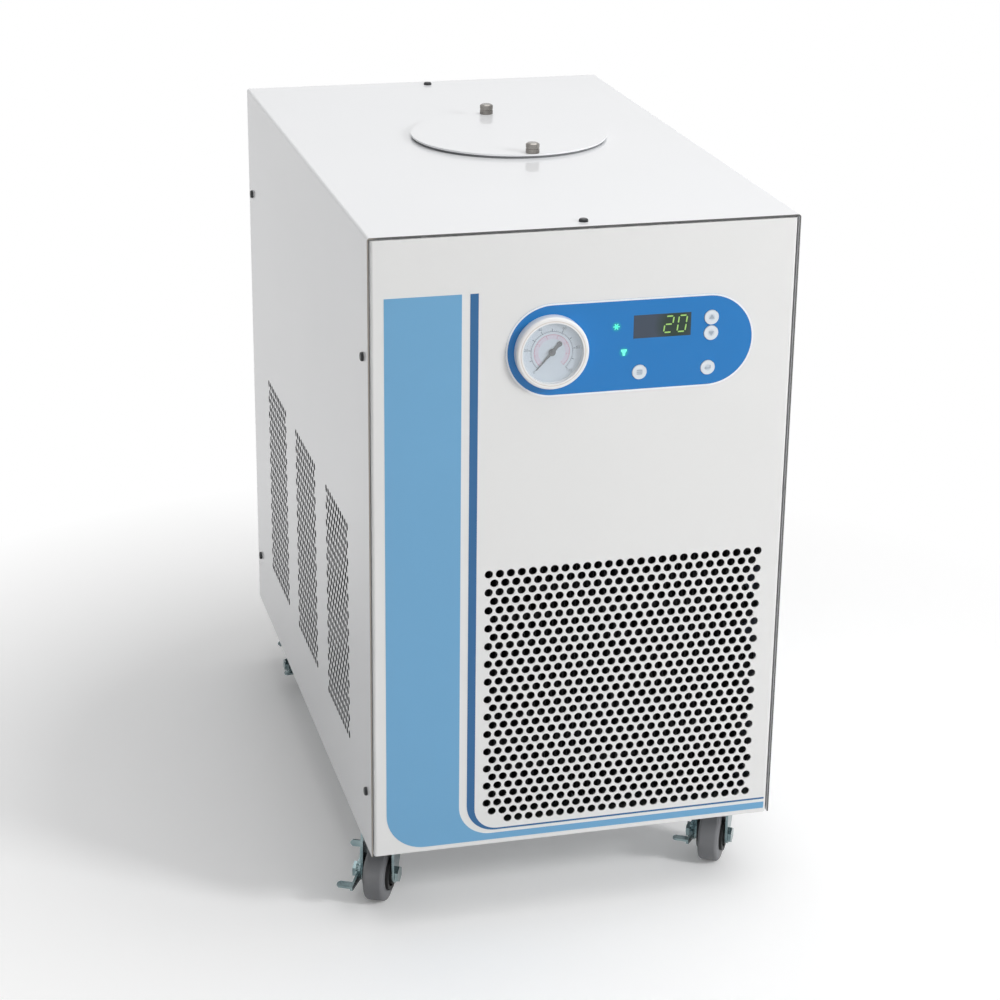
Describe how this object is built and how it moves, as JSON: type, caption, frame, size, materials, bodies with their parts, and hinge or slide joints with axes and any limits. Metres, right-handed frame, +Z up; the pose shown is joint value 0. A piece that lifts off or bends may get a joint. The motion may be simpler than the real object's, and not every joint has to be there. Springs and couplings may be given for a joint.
{
  "type": "recirculating chiller",
  "caption": "Recirculating water chiller: sheet-metal cabinet on braked swivel casters, with control panel, pressure gauge, perforated grilles, filler lid and rear hose ports.",
  "frame": {"origin": "at floor level under the middle of the whole outline", "axes": "+Z up, the front with the grille and controls faces -Y, +X to the right when looked at from the front"},
  "size_m": [0.3808, 0.6076, 0.6238],
  "materials": {
    "cover_paint": "satin",
    "panel_paint": "satin",
    "pan_steel": "satin",
    "shelf_steel": "satin",
    "screw_black": "satin",
    "film_light_blue": "satin",
    "film_dark_blue": "satin",
    "overlay_blue": "satin",
    "window_dark": "gloss",
    "board_green": "matt",
    "lamp_green": "gloss",
    "key_white": "satin",
    "bezel_cream": "satin",
    "dial_blue": "matt",
    "pointer_black": "matt",
    "gauge_glass": "gloss",
    "gasket_rubber": "matt",
    "thumb_metal": "gloss",
    "tank_steel": "satin",
    "copper": "satin",
    "core_aluminium": "matt",
    "shroud_steel": "matt",
    "rotor_plastic": "satin",
    "motor_grey": "satin",
    "compressor_black": "gloss",
    "drier_copper": "satin",
    "pump_blue": "satin",
    "hose_grey": "matt",
    "port_brass": "satin",
    "inlet_black": "satin",
    "rocker_red": "satin",
    "stem_zinc": "satin",
    "fork_zinc": "satin",
    "wheel_black": "matt",
    "tyre_grey": "matt",
    "brake_zinc": "satin"
  },
  "bodies": {
    "cabinet": {"wrap_cover": "cover_paint", "front_panel": "panel_paint", "rear_panel": "panel_paint", "base_pan": "pan_steel", "cover_screws": "screw_black", "wide_stripe": "film_light_blue", "narrow_stripe": "film_dark_blue", "control_overlay": "overlay_blue", "display_lens": "window_dark", "controller_board": "board_green", "status_lamps": "lamp_green", "gauge_case": "bezel_cream", "gauge_dial": "dial_blue", "gauge_lens": "gauge_glass", "reservoir_lid": "cover_paint", "lid_gasket": "gasket_rubber", "reservoir_tank": "tank_steel", "evaporator_coil": "copper", "tank_shelf": "shelf_steel", "condenser": "core_aluminium", "fan_shroud": "shroud_steel", "fan_motor": "motor_grey", "compressor": "compressor_black", "filter_drier": "drier_copper", "discharge_line": "copper", "liquid_line": "copper", "capillary_line": "copper", "suction_line": "copper", "circulation_pump": "pump_blue", "pump_feed_tube": "hose_grey", "supply_tube": "hose_grey", "supply_port": "port_brass", "return_port": "port_brass", "power_inlet": "inlet_black", "caster_stems": "stem_zinc"},
    "front_left_caster": {"front_left_fork": "fork_zinc"},
    "front_left_rolling_wheel": {"front_left_wheel": "wheel_black", "front_left_tyre": "tyre_grey"},
    "front_left_lever": {"front_left_brake": "brake_zinc"},
    "front_right_caster": {"front_right_fork": "fork_zinc"},
    "front_right_rolling_wheel": {"front_right_wheel": "wheel_black", "front_right_tyre": "tyre_grey"},
    "front_right_lever": {"front_right_brake": "brake_zinc"},
    "rear_left_caster": {"rear_left_fork": "fork_zinc"},
    "rear_left_rolling_wheel": {"rear_left_wheel": "wheel_black", "rear_left_tyre": "tyre_grey"},
    "rear_left_lever": {"rear_left_brake": "brake_zinc"},
    "rear_right_caster": {"rear_right_fork": "fork_zinc"},
    "rear_right_rolling_wheel": {"rear_right_wheel": "wheel_black", "rear_right_tyre": "tyre_grey"},
    "rear_right_lever": {"rear_right_brake": "brake_zinc"},
    "up_key_cap": {"up_key": "key_white"},
    "down_key_cap": {"down_key": "key_white"},
    "enter_key_cap": {"enter_key": "key_white"},
    "mode_key_cap": {"mode_key": "key_white"},
    "pointer": {"gauge_pointer": "pointer_black"},
    "rotor": {"fan_rotor": "rotor_plastic"},
    "front_thumb": {"front_thumbscrew": "thumb_metal"},
    "rear_thumb": {"rear_thumbscrew": "thumb_metal"},
    "rocker": {"power_rocker": "rocker_red"}
  },
  "joints": [
    {"name": "front_left_swivel", "type": "hinge", "parent": "cabinet", "child": "front_left_caster", "pos_m": [-0.14354, -0.22775, 0.072], "axis": [0, 0, 1], "continuous": true},
    {"name": "front_left_roll", "type": "hinge", "parent": "front_left_caster", "child": "front_left_rolling_wheel", "pos_m": [-0.14917, -0.23835, 0.025], "axis": [0.8829, -0.4695, 0], "continuous": true},
    {"name": "front_left_brake_press", "type": "hinge", "parent": "front_left_caster", "child": "front_left_lever", "pos_m": [-0.14917, -0.23835, 0.025], "axis": [0.8829, -0.4695, 0], "range_deg": [-11, 5]},
    {"name": "front_right_swivel", "type": "hinge", "parent": "cabinet", "child": "front_right_caster", "pos_m": [0.16446, -0.22775, 0.072], "axis": [0, 0, 1], "continuous": true},
    {"name": "front_right_roll", "type": "hinge", "parent": "front_right_caster", "child": "front_right_rolling_wheel", "pos_m": [0.15828, -0.23804, 0.025], "axis": [0.8572, -0.515, 0], "continuous": true},
    {"name": "front_right_brake_press", "type": "hinge", "parent": "front_right_caster", "child": "front_right_lever", "pos_m": [0.15828, -0.23804, 0.025], "axis": [0.8572, -0.515, 0], "range_deg": [0, 16]},
    {"name": "rear_left_swivel", "type": "hinge", "parent": "cabinet", "child": "rear_left_caster", "pos_m": [-0.13354, 0.21725, 0.072], "axis": [0, 0, 1], "continuous": true},
    {"name": "rear_left_roll", "type": "hinge", "parent": "rear_left_caster", "child": "rear_left_rolling_wheel", "pos_m": [-0.1327, 0.20528, 0.025], "axis": [0.9976, 0.0698, 0], "continuous": true},
    {"name": "rear_left_brake_press", "type": "hinge", "parent": "rear_left_caster", "child": "rear_left_lever", "pos_m": [-0.1327, 0.20528, 0.025], "axis": [0.9976, 0.0698, 0], "range_deg": [0, 16]},
    {"name": "rear_right_swivel", "type": "hinge", "parent": "cabinet", "child": "rear_right_caster", "pos_m": [0.15446, 0.21725, 0.072], "axis": [0, 0, 1], "continuous": true},
    {"name": "rear_right_roll", "type": "hinge", "parent": "rear_right_caster", "child": "rear_right_rolling_wheel", "pos_m": [0.15036, 0.20597, 0.025], "axis": [0.9397, -0.342, 0], "continuous": true},
    {"name": "rear_right_brake_press", "type": "hinge", "parent": "rear_right_caster", "child": "rear_right_lever", "pos_m": [0.15036, 0.20597, 0.025], "axis": [0.9397, -0.342, 0], "range_deg": [0, 16]},
    {"name": "up_key_press", "type": "slide", "parent": "cabinet", "child": "up_key_cap", "axis": [0, 1, 0], "range_m": [0, 0.0005], "stiffness_N_per_m": 400},
    {"name": "down_key_press", "type": "slide", "parent": "cabinet", "child": "down_key_cap", "axis": [0, 1, 0], "range_m": [0, 0.0005], "stiffness_N_per_m": 400},
    {"name": "enter_key_press", "type": "slide", "parent": "cabinet", "child": "enter_key_cap", "axis": [0, 1, 0], "range_m": [0, 0.0005], "stiffness_N_per_m": 400},
    {"name": "mode_key_press", "type": "slide", "parent": "cabinet", "child": "mode_key_cap", "axis": [0, 1, 0], "range_m": [0, 0.0005], "stiffness_N_per_m": 400},
    {"name": "pointer_sweep", "type": "hinge", "parent": "cabinet", "child": "pointer", "pos_m": [-0.01904, -0.29875, 0.5106], "axis": [0, 1, 0], "range_deg": [0, 270]},
    {"name": "fan_spin", "type": "hinge", "parent": "cabinet", "child": "rotor", "pos_m": [0.04918, -0.19725, 0.2045], "axis": [0, 1, 0], "continuous": true},
    {"name": "front_thumbscrew_turn", "type": "hinge", "parent": "cabinet", "child": "front_thumb", "pos_m": [0.02976, -0.05525, 0.617], "axis": [0, 0, 1], "continuous": true},
    {"name": "rear_thumbscrew_turn", "type": "hinge", "parent": "cabinet", "child": "rear_thumb", "pos_m": [0.02976, 0.10875, 0.617], "axis": [0, 0, 1], "continuous": true},
    {"name": "power_rocker_tip", "type": "hinge", "parent": "cabinet", "child": "rocker", "pos_m": [-0.09354, 0.28435, 0.385], "axis": [1, 0, 0], "range_deg": [-16, 0]}
  ]
}
